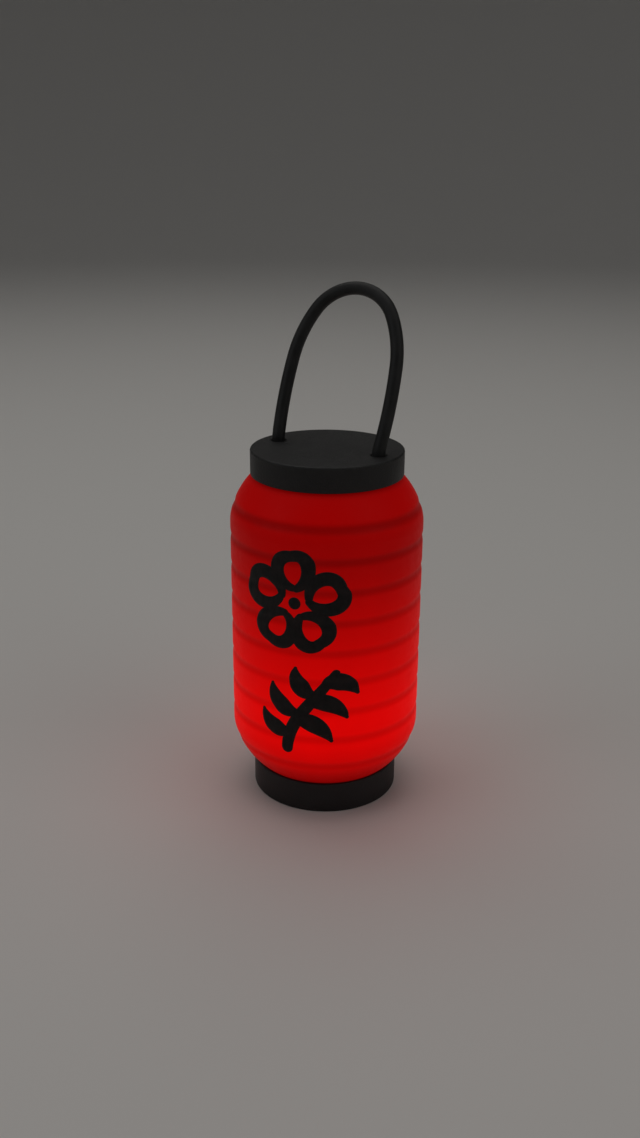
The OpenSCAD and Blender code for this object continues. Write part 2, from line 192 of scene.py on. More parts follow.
# %% [markdown]
# ## A small kit for making finishes
# Every finish below is a material built from nodes. Most need the same few things: a shader, a
# place on the piece to read a pattern from, a noise, and a bump. The helpers make those, so
# each finish can be written as what it is. The pattern is read from object coordinates, which
# stay with the piece when it moves. All the pieces share one origin, in the middle of the
# underside, so those coordinates also give the height and the distance from the axis.

# %% Helpers for materials
class Finish:
    """A new material with a Principled shader and short calls to add nodes to it."""

    def __init__(self, name, colour, roughness, **more):
        self.material = bpy.data.materials.new(name)
        self.material.use_nodes = True
        self.tree = self.material.node_tree
        self.shader = self.tree.nodes["Principled BSDF"]
        self.place = self.node("ShaderNodeTexCoord").outputs["Object"]
        self.set("Base Color", (*colour, 1))
        self.set("Roughness", roughness)
        for socket, value in more.items():
            self.set(socket.replace("_", " "), value)

    def set(self, socket, value):
        self.shader.inputs[socket].default_value = value

    def node(self, kind, **settings):
        made = self.tree.nodes.new(kind)
        for setting, value in settings.items():
            setattr(made, setting, value)
        return made

    def join(self, source, target):
        self.tree.links.new(source, target)

    def sum(self, operation, *values):
        """A Math node: each value is a number or another node's output."""
        made = self.node("ShaderNodeMath", operation=operation)
        for socket, value in zip(made.inputs, values):
            if isinstance(value, (int, float)):
                socket.default_value = value
            else:
                self.join(value, socket)
        return made.outputs[0]

    def axis(self, letter):
        """How far along X, Y or Z a point lies."""
        axes = self.node("ShaderNodeSeparateXYZ")
        self.join(self.place, axes.inputs["Vector"])
        return axes.outputs[letter]

    def from_the_axis(self):
        """The distance from the Z axis, for patterns that run in rings."""
        flat = self.node("ShaderNodeVectorMath", operation="MULTIPLY")
        flat.inputs[1].default_value = (1, 1, 0)
        self.join(self.place, flat.inputs[0])
        length = self.node("ShaderNodeVectorMath", operation="LENGTH")
        self.join(flat.outputs["Vector"], length.inputs[0])
        return length.outputs["Value"]

    def noise(self, scale, detail=3.0, stretch=(1, 1, 1)):
        """Noise from 0 to 1, with about scale spots to a metre."""
        mapping = self.node("ShaderNodeMapping")
        mapping.inputs["Scale"].default_value = stretch
        self.join(self.place, mapping.inputs["Vector"])
        made = self.node("ShaderNodeTexNoise")
        made.inputs["Scale"].default_value = scale
        made.inputs["Detail"].default_value = detail
        self.join(mapping.outputs["Vector"], made.inputs["Vector"])
        return made.outputs["Fac"]

    def spread(self, source, low, high, start=0.3, end=0.7):
        """Maps a value between start and end to low and high."""
        made = self.node("ShaderNodeMapRange")
        made.inputs["From Min"].default_value = start
        made.inputs["From Max"].default_value = end
        made.inputs["To Min"].default_value = low
        made.inputs["To Max"].default_value = high
        self.join(source, made.inputs["Value"])
        return made.outputs["Result"]

    def ramp(self, source, stops):
        """A colour ramp: stops are (position, colour)."""
        made = self.node("ShaderNodeValToRGB")
        while len(made.color_ramp.elements) < len(stops):
            made.color_ramp.elements.new(0.5)
        for element, (position, colour) in zip(made.color_ramp.elements, stops):
            element.position = position
            element.color = (*colour, 1)
        self.join(source, made.inputs["Fac"])
        return made.outputs["Color"]

    def bump(self, height, depth):
        """Makes the surface look raised by height, from 0 to 1, times depth in metres."""
        made = self.node("ShaderNodeBump")
        made.inputs["Distance"].default_value = depth
        self.join(height, made.inputs["Height"])
        self.join(made.outputs["Normal"], self.shader.inputs["Normal"])


def paint(obj, finish):
    """Gives a whole object one finish."""
    obj.data.materials.clear()
    obj.data.materials.append(finish.material)


# %% [markdown]
# ## The shade's outline
# The shade is one blow-moulded part, so its form is a single outline turned about the axis. It
# has a straight side, two rounded shoulders and ten ribs with a soft groove between each two.
# It could be a cylinder with loop cuts, shrunk ring by ring. Turning an outline gives the same
# ribs from two short formulas, as dense as needed, so the grooves stay smooth in the light.

# %% Sizes read from the frame
shade_low, shade_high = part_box("shade")
cap_low, cap_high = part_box("top_cap")
shade_r = shade_high.x
shade_z0 = shade_low.z
cap_gap = 0.3 * mm
shade_z1 = cap_low.z + cap_gap
neck_top = shade_high.z
rib_count = 10
rib_pitch = (shade_z1 - shade_z0) / rib_count
groove_w = 5.0 * mm
groove_depth = 0.35 * mm
wall = 1.5 * mm
neck_r = 27.4 * mm
neck_in = 25.8 * mm
neck_edge = 0.3 * mm
collar_in = 26.4 * mm
collar_out = collar_in + 1.3 * mm
collar_top = shade_z0 + 6.5 * mm
collar_edge = 0.2 * mm
pocket_z = shade_z0 + 2.8 * mm
top_start, top_reach = shade_z1 - 18.4 * mm, 21.9 * mm
low_start, low_reach = shade_z0 + 17.4 * mm, 20.1 * mm
top_drop, top_round = 0.443, 1.63
low_drop, low_round = 0.388, 1.57
print("rib pitch in mm:", round(rib_pitch / mm, 2), "shade radius in mm:", round(shade_r / mm, 2))


# %% Radius of the shade at a height
def fall(u, drop, power):
    """A shoulder's radius, as it goes from 1 at u = 0 towards 1 - drop at u = 1."""
    return 1 - drop + drop * (1 - min(u, 1) ** power) ** (1 / power)


def plain_radius(z, inset=0.0):
    """Radius of the shade without its grooves, inset from the outside."""
    if z > top_start:
        return shade_r * fall((z - top_start) / (top_reach - inset), top_drop, top_round) - inset
    if z < low_start:
        return shade_r * fall((low_start - z) / (low_reach - inset), low_drop, low_round) - inset
    return shade_r - inset


def groove(z):
    """Depth of the groove at a height: a smooth dip half-way between two ribs."""
    turn = (z - shade_z0) / rib_pitch
    nearest = round(turn)
    t = abs(turn - nearest) * rib_pitch / (groove_w / 2)
    if t > 1 or not 1 <= nearest <= rib_count - 1:
        return 0.0
    return groove_depth * (1 + cos(pi * t)) / 2


def outer_radius(z):
    return plain_radius(z) - groove(z)


neck_foot_r = plain_radius(shade_z1)
print("shade radius under the cap in mm:", round(neck_foot_r / mm, 2))


# %% A helper that makes a new piece from points and faces
def piece(name, points, faces, smooth=True):
    mesh = bpy.data.meshes.new(name)
    mesh.from_pydata(points, [], faces)
    mesh.validate()
    made = bpy.data.objects.new(name, mesh)
    bpy.context.scene.collection.objects.link(made)
    form = bmesh.new()
    form.from_mesh(mesh)
    bmesh.ops.recalc_face_normals(form, faces=form.faces)
    for face in form.faces:
        face.smooth = smooth
    form.to_mesh(mesh)
    form.free()
    print(name, "faces:", len(mesh.polygons))
    return made


def turned(name, outline, segments):
    """Turns a closed outline of (radius, height) points about the Z axis."""
    count = len(outline)
    points = [
        (r * cos(2 * pi * k / segments), r * sin(2 * pi * k / segments), z)
        for k in range(segments)
        for r, z in outline
    ]
    faces = [
        (k * count + i, k * count + j, nxt * count + j, nxt * count + i)
        for k in range(segments)
        for nxt in [(k + 1) % segments]
        for i in range(count)
        for j in [(i + 1) % count]
    ]
    return piece(name, points, faces)


# %% The shade's mesh
def steps(start, end, count):
    """Evenly spaced values from start up to, but not including, end."""
    return [start + (end - start) * i / count for i in range(count)]


neck_fillet = 0.1 * mm
steps_per_rib = 24
shade_sides = 180
outside = [(outer_radius(z), z) for z in steps(shade_z0, shade_z1, steps_per_rib * rib_count)]
upper_neck = [
    (neck_foot_r, shade_z1),
    (neck_r + neck_fillet, shade_z1),
    (neck_r, shade_z1 + neck_fillet),
    (neck_r, neck_top - neck_edge),
    (neck_r - neck_edge, neck_top),
    (neck_in + neck_edge, neck_top),
    (neck_in, neck_top - neck_edge),
]
inside = [
    (max(neck_in, plain_radius(z, wall)), z)
    for z in steps(shade_z1, low_start, 70) + steps(low_start, pocket_z, 14)
]
lower_neck = [
    (plain_radius(pocket_z, wall), pocket_z),
    (collar_out, pocket_z),
    (collar_out, collar_top - collar_edge),
    (collar_out - collar_edge, collar_top),
    (collar_in + collar_edge, collar_top),
    (collar_in, collar_top - collar_edge),
    (collar_in, shade_z0),
]
shade = turned("shade_shell", outside + upper_neck + inside + lower_neck, shade_sides)
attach(shade, "shade")
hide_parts("shade")

# %% [markdown]
# ## The glow of the shade
# The shade is milky red plastic over a lamp that sits low in the body. Light could be traced
# from the lamps through the wall, but such light is slow and grainy. The plastic scatters so
# much that the outside seems to shine, so that light is painted on as a glow of the shade's
# own: brightest a quarter of the way up, dimmer towards the cap, and with painted shade in the
# grooves. So the finish shines by itself, and how strongly is worked out from the height and
# from the distance to the nearest groove.

# %% Finish of the shade: how strongly it shines from its foot, 0, to the cap, 1
glow_by_height = [
    (0.00, 0.13),
    (0.05, 0.22),
    (0.10, 0.41),
    (0.17, 0.57),
    (0.26, 0.595),
    (0.36, 0.51),
    (0.48, 0.405),
    (0.60, 0.305),
    (0.70, 0.228),
    (0.78, 0.182),
    (0.86, 0.172),
    (0.93, 0.198),
    (1.00, 0.190),
]
glow_stops = [(place, (glow,) * 3) for place, glow in glow_by_height]
# painted shade: in the grooves the glow drops to these shares of its level, from the lower ribs to
# the upper
groove_reach = 0.24
groove_glow_low, groove_glow_high = 0.76, 0.56


def shade_finish():
    """Milky red plastic with a painted glow for the lamp's light through it, painted shade in the
    grooves and a faint unevenness.
    """
    f = Finish("shade_glowing_red", (0.30, 0.0015, 0.0015), 0.46, Specular_IOR_Level=0.07)
    turn = f.sum("DIVIDE", f.sum("SUBTRACT", f.axis("Z"), shade_z0), rib_pitch)
    level = f.ramp(f.sum("DIVIDE", turn, rib_count), glow_stops)
    away = f.sum("ABSOLUTE", f.sum("SUBTRACT", turn, f.sum("ROUND", turn)))
    # painted shade: the glow dims towards each groove
    band = f.node("ShaderNodeMapRange", interpolation_type="SMOOTHERSTEP")
    band.inputs["From Min"].default_value = 0.0
    band.inputs["From Max"].default_value = groove_reach
    f.join(away, band.inputs["Value"])
    f.join(f.spread(turn, groove_glow_low, groove_glow_high, 4, 9), band.inputs["To Min"])
    cloud = f.spread(f.noise(90, 2.0, (1, 1, 0.5)), 0.975, 1.025)
    strength = f.sum("MULTIPLY", f.sum("MULTIPLY", level, band.outputs["Result"]), cloud)
    f.set("Emission Color", (1.0, 0.0, 0.0, 1))
    f.join(strength, f.shader.inputs["Emission Strength"])
    f.join(f.spread(f.noise(400), 0.42, 0.54), f.shader.inputs["Roughness"])
    f.bump(f.noise(900, 3.0), 0.05 * mm)
    return f


paint(shade, shade_finish())
print("heights with a glow of their own:", len(glow_stops))

# %% [markdown]
# ## The painted motifs
# A blossom and a leafy sprig are painted on the front with a fat, soft brush. They could be an
# image on the shade, but an image has a fixed sharpness. Here each brush stroke is a thin sheet
# of its own: a Bezier curve gives its middle line, a width that swells and shrinks gives its
# two edges, and every point is then laid on the ribbed wall, so the paint dips into the grooves
# as real paint does.

# %% The strokes: four Bezier points in mm, and the width at the start, middle and end
blossom_middle = (-2, (shade_z0 + 6.65 * rib_pitch) / mm)
sprig_middle = (3, (shade_z0 + 3.03 * rib_pitch) / mm)
petal_sway = (3, -2, 2, -4, 1)
petal_strokes = [
    ([(-0.6, 6), (-8, 8), (-8.4, 19.4), (0.8, 18)], (3.2, 7.2, 4)),
    ([(0.9, 5.6), (8.2, 9), (7.6, 20), (-0.6, 18.2)], (3, 7.6, 4)),
]
leaf = (1.8, 13, 1.4)
sprig_strokes = [
    ([(-8, -16.6), (-7.5, -4), (2, 3), (10.5, 16)], (4.6, 6, 3.2)),
    ([(-7, -9.5), (-10.5, -10.5), (-16, -9), (-18, -2.5)], leaf),
    ([(-5.4, -5), (-0.5, -3.2), (5.5, -5.5), (9, -12.5)], leaf),
    ([(-3.6, -1), (-8.5, -1.5), (-13.5, 2.5), (-14, 9.5)], leaf),
    ([(-0.4, 2.4), (4, 5.6), (10.5, 4), (14.5, -2.5)], leaf),
    ([(3.2, 6.6), (-1.8, 7.4), (-5.4, 11.5), (-4.6, 17.4)], leaf),
    ([(5.6, 10), (9, 14), (14.6, 13.5), (18, 7.5)], leaf),
]


def turned_stroke(points, angle):
    """A stroke's points, turned about the blossom's middle."""
    c, s = cos(radians(angle)), sin(radians(angle))
    return [(x * c - y * s, x * s + y * c) for x, y in points]


blossom_strokes = [
    (turned_stroke(points, 72 * k + petal_sway[k]), widths)
    for k in range(5)
    for points, widths in petal_strokes
]
print("strokes:", len(blossom_strokes), "in the blossom,", len(sprig_strokes), "in the sprig")


# %% One brush stroke as a grid of points, flat
end_steps = 5
end_tip = 0.02


def bezier(a, b, c, d, t):
    """A point of a cubic Bezier curve."""
    u = 1 - t
    return u**3 * a + 3 * t * u * u * b + 3 * t * t * u * c + t**3 * d


def curve_point(p, t):
    """A point of a cubic Bezier curve, and the direction there."""
    a, b, c, d = (Vector(q) for q in p)
    u = 1 - t
    heading = u * u * (b - a) + 2 * t * u * (c - b) + t * t * (d - c)
    return bezier(a, b, c, d, t), heading.normalized()


def stroke_rows(p, widths, along=40, across=8):
    """Rows of flat points across a stroke, with half-round ends."""
    rows = []
    start, start_heading = curve_point(p, 0)
    end, end_heading = curve_point(p, 1)
    round_end = [sin(pi / 2 * k / end_steps) for k in range(1, end_steps + 1)]
    spine = [(start, start_heading, widths[0] / 2, -beyond) for beyond in reversed(round_end)]
    for i in range(along + 1):
        t = i / along
        place, heading = curve_point(p, t)
        width = (1 - t) ** 2 * widths[0] + 2 * t * (1 - t) * widths[1] + t * t * widths[2]
        spine.append((place, heading, width / 2, 0.0))
    spine += [(end, end_heading, widths[2] / 2, beyond) for beyond in round_end]
    for place, heading, half, beyond in spine:
        side = Vector((-heading.y, heading.x))
        reach = half * max(sqrt(max(1 - beyond**2, 0)), end_tip)
        middle = place + heading * half * beyond
        rows.append([middle + side * reach * (2 * j / across - 1) for j in range(across + 1)])
    return rows


# %% Lay the strokes on the wall
paint_t = 0.14 * mm
paint_root = -0.03 * mm
thin_share = 0.72
edge_share = 0.35


def on_the_wall(x, z, lift):
    """The point of the shade's front that faces -Y at x and z, lifted off the wall."""
    r = outer_radius(z) + lift
    return (x, -sqrt(r * r - x * x), z)


def painted_motif(name, node, strokes, middle, extra_rows=()):
    """All the strokes of a motif as one mesh of closed films, each with its own thickness."""
    points, faces = [], []
    grids = [stroke_rows(p, widths) for p, widths in strokes] + list(extra_rows)
    for k, rows in enumerate(grids):
        full = paint_t * (thin_share + (1 - thin_share) * k / len(grids))
        count, across = len(rows), len(rows[0])
        front = len(points)
        back = front + count * across
        for side in ("front", "back"):
            for i, row in enumerate(rows):
                for j, q in enumerate(row):
                    edge = i in (0, count - 1) or j in (0, across - 1)
                    lift = paint_root if side == "back" else full * (edge_share if edge else 1)
                    x, z = (middle[0] + q[0]) * mm, (middle[1] + q[1]) * mm
                    points.append(on_the_wall(x, z, lift))
        for i in range(count - 1):
            for j in range(across - 1):
                a = i * across + j
                cell = (a, a + 1, a + across + 1, a + across)
                faces.append(tuple(front + c for c in cell))
                faces.append(tuple(back + c for c in reversed(cell)))
        rim = list(range(across))
        rim += [i * across + across - 1 for i in range(1, count)]
        rim += [(count - 1) * across + j for j in range(across - 2, -1, -1)]
        rim += [i * across for i in range(count - 2, 0, -1)]
        for a, b in zip(rim, rim[1:] + rim[:1]):
            faces.append((front + b, front + a, back + a, back + b))
    made = piece(name, points, faces)
    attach(made, "shade")
    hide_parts(node)
    return made


dot_r = 2.4
dot_across = (-1, -0.8, -0.5, -0.2, 0, 0.2, 0.5, 0.8, 1)
dot_along = (-1, -0.95, -0.8, -0.6, -0.3, 0, 0.3, 0.6, 0.8, 0.95, 1)
dot_rows = [
    [
        (dot_r * sin(pi / 2 * v) * sqrt(max(1 - u * u, end_tip**2)), dot_r * u)
        for v in dot_across
    ]
    for u in dot_along
]
blossom = painted_motif(
    "blossom_paint", "blossom_print", blossom_strokes, blossom_middle, [dot_rows]
)
sprig = painted_motif("sprig_paint", "sprig_print", sprig_strokes, sprig_middle)


# %% Finish of the paint
def ink_finish():
    """Matte black screen ink, a little uneven, and redder in patches at random."""
    thick, thin = (0.004, 0.0035, 0.0035), (0.012, 0.006, 0.006)
    f = Finish("ink_black", thick, 0.6, Specular_IOR_Level=0.3)
    streaks = f.noise(700, 3.0, (1, 1, 0.35))
    f.join(f.spread(streaks, 0.52, 0.7), f.shader.inputs["Roughness"])
    tone = f.ramp(f.noise(260, 2.0), [(0.4, thick), (0.75, thin)])
    f.join(tone, f.shader.inputs["Base Color"])
    f.bump(streaks, 0.03 * mm)
    return f


ink = ink_finish()
paint(blossom, ink)
paint(sprig, ink)
print("pieces painted with ink:", ink.material.users)

# %% [markdown]
# ## The handle
# The handle is one length of round rubber cord. Each end goes down through a hole in the cap
# and is gripped below it. The CAD model has a loop and two short tails, because a rigid part
# can't bend. A curve with a bevel would give a quick tube, but here the tube is made ring by
# ring, so that one skin can run from one tail, round the loop and down to the other tail.

# %% The cord's middle line
handle_turn = radians(-15)
handle_lean = radians(22)
foot = 22 * mm
foot_rise = 1.6 * mm
foot_z = cap_high.z + foot_rise
cord_r = 2.5 * mm
tail_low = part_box("cord_ends")[0].z
leg_r, splay, leg_end = 180 * mm, radians(5.5), radians(4.5)
shoulder_r, shoulder_end = 45 * mm, radians(30)


def arc_point(centre, r, angle):
    return Vector((centre[0] + r * cos(angle), centre[1] + r * sin(angle)))


leg_c = Vector((foot - leg_r * cos(splay), leg_r * sin(splay)))
leg_p = arc_point(leg_c, leg_r, leg_end)
shoulder_c = leg_p - shoulder_r * Vector((cos(leg_end), sin(leg_end)))
shoulder_p = arc_point(shoulder_c, shoulder_r, shoulder_end)
crown_r = shoulder_p.x / cos(shoulder_end)
crown_c = Vector((0, shoulder_p.y - crown_r * sin(shoulder_end)))


def swept(centre, r, start, end, count):
    """Points of an arc, without its last point."""
    return [arc_point(centre, r, angle) for angle in steps(start, end, count)]


half_loop = (
    swept(leg_c, leg_r, -splay, leg_end, 40)
    + swept(shoulder_c, shoulder_r, leg_end, shoulder_end, 16)
    + swept(crown_c, crown_r, shoulder_end, pi / 2, 24)
)
crown_top = Vector((0, crown_c.y + crown_r))
other_half = [Vector((-q.x, q.y)) for q in reversed(half_loop)]
loop_flat = half_loop + [crown_top] + other_half
loop_frame = (
    Matrix.Translation((0, 0, foot_z))
    @ Matrix.Rotation(handle_turn, 4, "Z")
    @ Matrix.Rotation(pi / 2 - handle_lean, 4, "X")
)
loop_points = [loop_frame @ Vector((q.x, q.y, 0)) for q in loop_flat]
print("loop top in mm:", round((max(q.z for q in loop_points) + cord_r) / mm, 1))


# %% From each foot straight down through the cap
ease_steps = 8
lead_l = 2.4 * mm
knee_rise = 1.2 * mm
clear_of_lead = 2.9 * mm


def eased_tail(top, above):
    """Points from the bottom of a tail up to a foot, easing into the loop's lean."""
    low = Vector((top.x, top.y, tail_low))
    knee = Vector((top.x, top.y, top.z - foot_rise))
    points = [low.lerp(knee, i / ease_steps) for i in range(ease_steps)]
    lead = (above - top).normalized() * lead_l
    b, c = knee + Vector((0, 0, knee_rise)), top + lead * 0.2
    for i in range(ease_steps + 1):
        points.append(bezier(knee, b, c, top + lead, i / ease_steps))
    return points


def beyond_lead(points):
    """The loop's points that lie past the eased part of the feet."""
    first, last = points[0], points[-1]
    return [q for q in points if min((q - first).length, (q - last).length) > clear_of_lead]


cord_line = (
    eased_tail(loop_points[0], loop_points[1])
    + beyond_lead(loop_points)
    + list(reversed(eased_tail(loop_points[-1], loop_points[-2])))
)
cord_length = sum((b - a).length for a, b in zip(cord_line, cord_line[1:]))
print("points along the cord:", len(cord_line), "length in mm:", round(cord_length / mm, 1))


# %% The cord's skin
cord_blunt = 0.35 * mm


def tube(name, line, r, sides=28):
    """A round tube along a line, with slightly rounded ends, made ring by ring."""
    across = (line[1] - line[0]).normalized().orthogonal().normalized()
    rings = []
    for i, place in enumerate(line):
        ahead = (line[min(i + 1, len(line) - 1)] - line[max(i - 1, 0)]).normalized()
        across = (across - ahead * across.dot(ahead)).normalized()
        side = ahead.cross(across)
        rings.append((place, across.copy(), side, r, ahead))
    first, last = rings[0], rings[-1]
    small = r - cord_blunt
    rings.insert(0, (first[0] - first[4] * cord_blunt, first[1], first[2], small, first[4]))
    rings.append((last[0] + last[4] * cord_blunt, last[1], last[2], small, last[4]))
    points = [
        place + ring_r * (cos(2 * pi * k / sides) * a + sin(2 * pi * k / sides) * b)
        for place, a, b, ring_r, ahead in rings
        for k in range(sides)
    ]
    faces = [
        (low + k, low + nxt, low + sides + nxt, low + sides + k)
        for low in range(0, (len(rings) - 1) * sides, sides)
        for k in range(sides)
        for nxt in [(k + 1) % sides]
    ]
    last_ring = (len(rings) - 1) * sides
    faces += [tuple(range(sides)), tuple(range(last_ring, last_ring + sides))]
    return piece(name, points, faces)


for end in (0, -1):
    cord_line[end] = cord_line[end] + Vector((0, 0, cord_blunt))
cord = tube("rubber_cord", cord_line, cord_r)
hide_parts("handle", "cord_ends")
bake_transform(cord)


# %% Finish of the rubber
def rubber_finish(name, colour, roughness, grain):
    """Soft black rubber: dull, with a fine grain and a dusty bloom in patches."""
    f = Finish(name, colour, roughness, Specular_IOR_Level=0.35)
    bloom = f.noise(130, 3.0)
    light = tuple(2.2 * c + 0.004 for c in colour)
    f.join(f.ramp(bloom, [(0.42, colour), (0.8, light)]), f.shader.inputs["Base Color"])
    f.join(f.spread(bloom, roughness - 0.06, roughness + 0.1), f.shader.inputs["Roughness"])
    f.bump(f.noise(grain, 3.0), 0.08 * mm)
    return f


paint(cord, rubber_finish("rubber_of_the_cord", (0.008, 0.008, 0.008), 0.52, 1700))

# %% [markdown]
# ## Black mouldings
# The base, the cap, the battery door and the button are moulded in black plastic. Their shapes
# come straight from CAD, so only a finish is needed. A mould is spark-eroded to hide marks, and
# the part comes out with a fine even grain. Two noises make it: a very fine one for the grain,
# and a broad one that makes the gloss uneven, as handling does.

# %% Where a moulding's outer edge gets rubbed
rub_in = 0.9 * mm
rub_start, rub_end = 0.1 * mm, 1.1 * mm


def edge_rub(f, radius, height):
    """From 0 to 1 towards a turned part's edge, broken up as real rubbing is."""
    out = f.spread(f.from_the_axis(), 0.0, 1.0, radius - rub_in, radius)
    off = f.sum("ABSOLUTE", f.sum("SUBTRACT", f.axis("Z"), height))
    near = f.spread(off, 1.0, 0.0, rub_start, rub_end)
    patchy = f.spread(f.noise(330, 4.0), 0.0, 1.0, 0.38, 0.66)
    return f.sum("MULTIPLY", f.sum("MULTIPLY", out, near), patchy)


# %% Finish of moulded plastic
def moulded_finish(name, colour, roughness, grain=1300, depth=0.16 * mm, dust=2.0, edge=None):
    """Plastic with a fine even grain; edge is the (radius, height) of an edge that gets rubbed."""
    f = Finish(name, colour, roughness, Specular_IOR_Level=0.4)
    handled = f.noise(55, 5.0)
    pale = tuple(min(dust * c + 0.003, 1) for c in colour)
    shade_of = f.spread(handled, 0.0, 0.6, 0.42, 0.72)
    gloss = f.spread(handled, roughness - 0.1, roughness + 0.1)
    if edge:
        rub = edge_rub(f, *edge)
        shade_of = f.sum("ADD", shade_of, f.sum("MULTIPLY", rub, 0.4))
        gloss = f.sum("SUBTRACT", gloss, f.sum("MULTIPLY", rub, 0.18))
        rubbed = tuple(min(5 * c + 0.012, 1) for c in colour)
        stops = [(0.0, colour), (0.6, pale), (1.0, rubbed)]
    else:
        stops = [(0.0, colour), (0.6, pale)]
    f.join(f.ramp(shade_of, stops), f.shader.inputs["Base Color"])
    f.join(gloss, f.shader.inputs["Roughness"])
    f.bump(f.noise(grain, 2.0), depth)
    return f


base_edge = (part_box("base_housing")[1].x, 0)
cap_edge = (cap_high.x, cap_high.z)
finishes = {
    "base_housing": moulded_finish("base_moulding", (0.007, 0.007, 0.0075), 0.54, edge=base_edge),
    "top_cap": moulded_finish("cap_moulding", (0.007, 0.007, 0.007), 0.55, edge=cap_edge),
    "battery_door": moulded_finish("door_moulding", (0.009, 0.009, 0.0095), 0.5),
    "power_button": rubber_finish("button_rubber", (0.014, 0.014, 0.015), 0.62, 1800),
    "switch_body": moulded_finish("switch_moulding", (0.035, 0.035, 0.038), 0.45),
    "switch_plunger": moulded_finish("plunger_moulding", (0.33, 0.035, 0.02), 0.4, dust=1.2),
    "battery_holder": moulded_finish("holder_moulding", (0.72, 0.68, 0.58), 0.5, dust=0.92),
    "cap_liner": moulded_finish("liner_moulding", (0.78, 0.77, 0.74), 0.5, dust=0.94),
}
print("plain mouldings:", len(finishes))

# %% [markdown]
# ## Seals
# Three soft rings keep water out: one in the spigot of the base, one round the door's plug and
# a flat one inside the cap. They are darker and duller than the mouldings, with a faint line of
# flash where the two halves of their mould met. The line is a narrow band in height.

# %% Finish of a seal
seal_grain = 2600


def seal_finish(name, line_z):
    """Dull rubber with a thin raised line of flash at one height."""
    f = rubber_finish(name, (0.02, 0.02, 0.021), 0.7, seal_grain)
    off = f.sum("ABSOLUTE", f.sum("SUBTRACT", f.axis("Z"), line_z))
    line = f.spread(off, 1.0, 0.0, 0.02 * mm, 0.07 * mm)
    grain = f.noise(seal_grain, 3.0)
    f.bump(f.sum("ADD", f.sum("MULTIPLY", grain, 0.4), line), 0.06 * mm)
    return f


def middle_height(node):
    low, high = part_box(node)
    return (low.z + high.z) / 2


for seal in ("base_gasket", "door_gasket", "cap_gasket"):
    finishes[seal] = seal_finish(seal + "_rubber", middle_height(seal))
    print(seal, "has its line at mm:", round(middle_height(seal) / mm, 2))

# %% [markdown]
# ## The milky dome
# Under the shade a low milky dome covers the lamps and spreads their light. When the shade is
# lifted off, the dome is the bright thing. Like the shade it shines by itself: strongest over
# the ring of lamps, weaker at its rim, and pale red, because the lamps are red.

# %% Finish of the dome
led_ring = 11 * mm
dome_r = 23 * mm
dome_glow = [
    (0.0, (0.95, 0.10, 0.06)),
    (0.48, (1.0, 0.16, 0.09)),
    (0.75, (0.62, 0.03, 0.02)),
    (1.0, (0.25, 0.0, 0.0)),
]


def dome_finish():
    """Milky plastic that shines by its distance from the axis."""
    f = Finish("dome_milky", (0.80, 0.76, 0.74), 0.35, Specular_IOR_Level=0.45)
    glow = f.ramp(f.sum("DIVIDE", f.from_the_axis(), dome_r), dome_glow)
    f.join(glow, f.shader.inputs["Emission Color"])
    f.set("Emission Strength", 0.9)
    f.join(f.spread(f.noise(300), 0.3, 0.42), f.shader.inputs["Roughness"])
    f.bump(f.noise(1500, 2.0), 0.01 * mm)
    return f


finishes["light_diffuser"] = dome_finish()
print("finishes so far:", len(finishes))

# %% [markdown]
# ## The lamps and their board
# Six small lamps sit in a ring on a round green board. Each is a cream package with a yellow
# phosphor window. The six are one CAD node, so the window is found from the place: the angle
# round the axis is folded into one sixth of a turn, and the distance to the middle of the
# nearest lamp then says what is window and what is package.

# %% Finish of the lamps
led_count = 6
window_r, window_edge = 1.0 * mm, 1.15 * mm
lamp_cream, phosphor = (0.82, 0.78, 0.66), (0.85, 0.5, 0.08)
lamp_light = (1.0, 0.2, 0.1)


def from_nearest_lamp(f):
    """The distance to the middle of the nearest lamp of the ring."""
    angle = f.sum("ARCTAN2", f.axis("Y"), f.axis("X"))
    share = 2 * pi / led_count
    nearest = f.sum("MULTIPLY", f.sum("ROUND", f.sum("DIVIDE", angle, share)), share)
    sideways = f.sum("MULTIPLY", f.sum("SUBTRACT", angle, nearest), led_ring)
    outwards = f.sum("SUBTRACT", f.from_the_axis(), led_ring)
    squares = [f.sum("MULTIPLY", side, side) for side in (sideways, outwards)]
    return f.sum("SQRT", f.sum("ADD", *squares))


def lamp_finish():
    """A cream package with a round window that shines."""
    f = Finish("lamp_package", lamp_cream, 0.4)
    window = f.spread(from_nearest_lamp(f), 1.0, 0.0, window_r, window_edge)
    colour = f.ramp(window, [(0.0, lamp_cream), (1.0, phosphor)])
    f.join(colour, f.shader.inputs["Base Color"])
    glow = f.ramp(window, [(0.0, (0, 0, 0)), (1.0, lamp_light)])
    f.join(glow, f.shader.inputs["Emission Color"])
    f.set("Emission Strength", 1.5)
    f.join(f.spread(window, 0.42, 0.15, 0, 1), f.shader.inputs["Roughness"])
    rim = f.spread(window, 0.6, 0.0, 0, 1)
    f.bump(f.sum("ADD", f.sum("MULTIPLY", f.noise(1800), 0.3), rim), 0.05 * mm)
    return f


finishes["leds"] = lamp_finish()
print("lamps in the ring:", led_count, "on a radius in mm of", round(led_ring / mm, 1))


# %% Finish of the board
track_pitch = 2.4 * mm
track_half, track_edge = 0.5 * mm, 0.62 * mm
lacquer_dark, lacquer_light = (0.008, 0.06, 0.024), (0.03, 0.17, 0.06)


